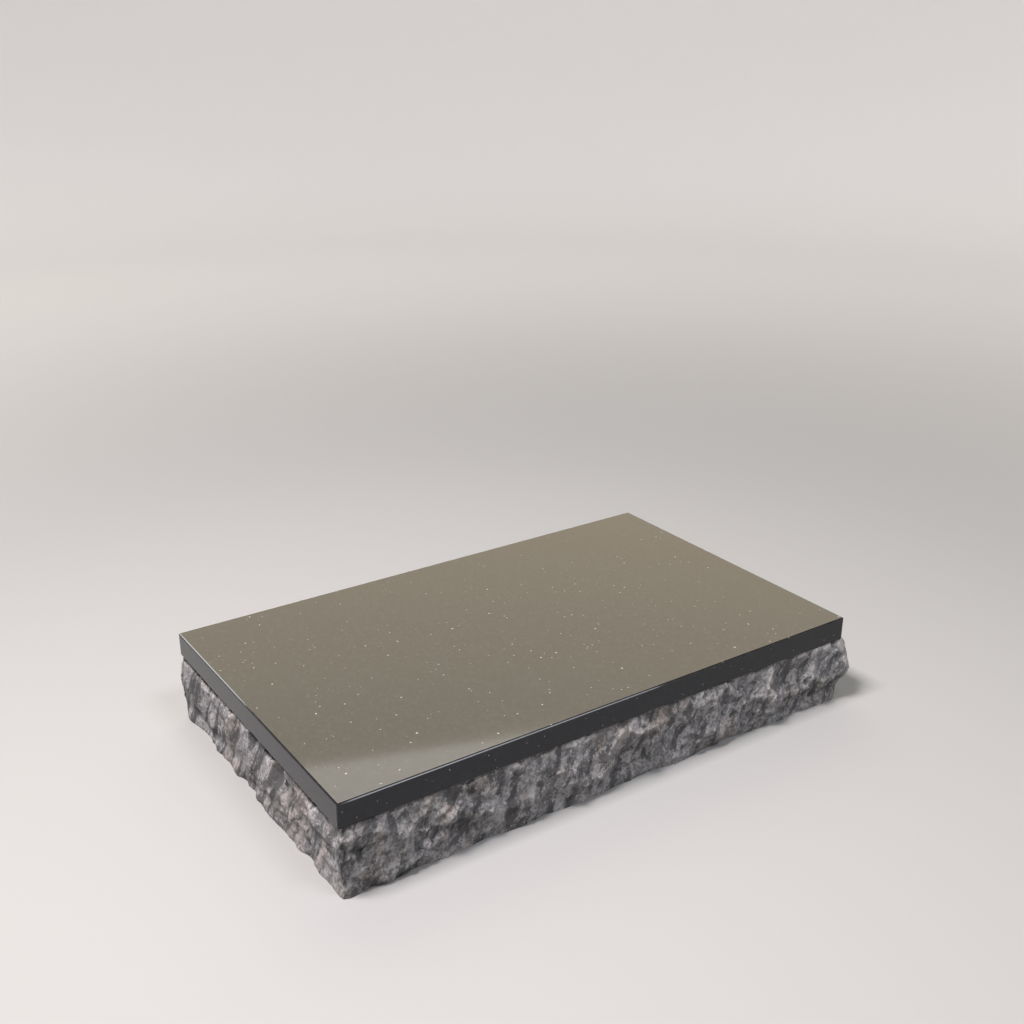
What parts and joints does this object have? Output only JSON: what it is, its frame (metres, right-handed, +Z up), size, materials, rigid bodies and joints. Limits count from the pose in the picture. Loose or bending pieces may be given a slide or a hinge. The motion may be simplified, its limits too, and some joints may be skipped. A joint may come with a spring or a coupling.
{
  "type": "flat grave marker",
  "caption": "Flat grave marker: a thin rectangular slab of polished black stone on a block of grey stone with rough pitched sides, which lies on the ground.",
  "frame": {"origin": "middle of the block's flat underside, on the ground", "axes": "+X along the marker's length, to the right as it is read, +Y across it to its head edge, +Z up"},
  "size_m": [0.513, 0.3133, 0.0813],
  "materials": {
    "polished_black_granite": "polished",
    "pitched_grey_granite": "rock-pitched sides, sawn top and underside"
  },
  "bodies": {
    "root": {"polished_slab": "polished_black_granite", "pitched_block": "pitched_grey_granite"}
  },
  "joints": []
}
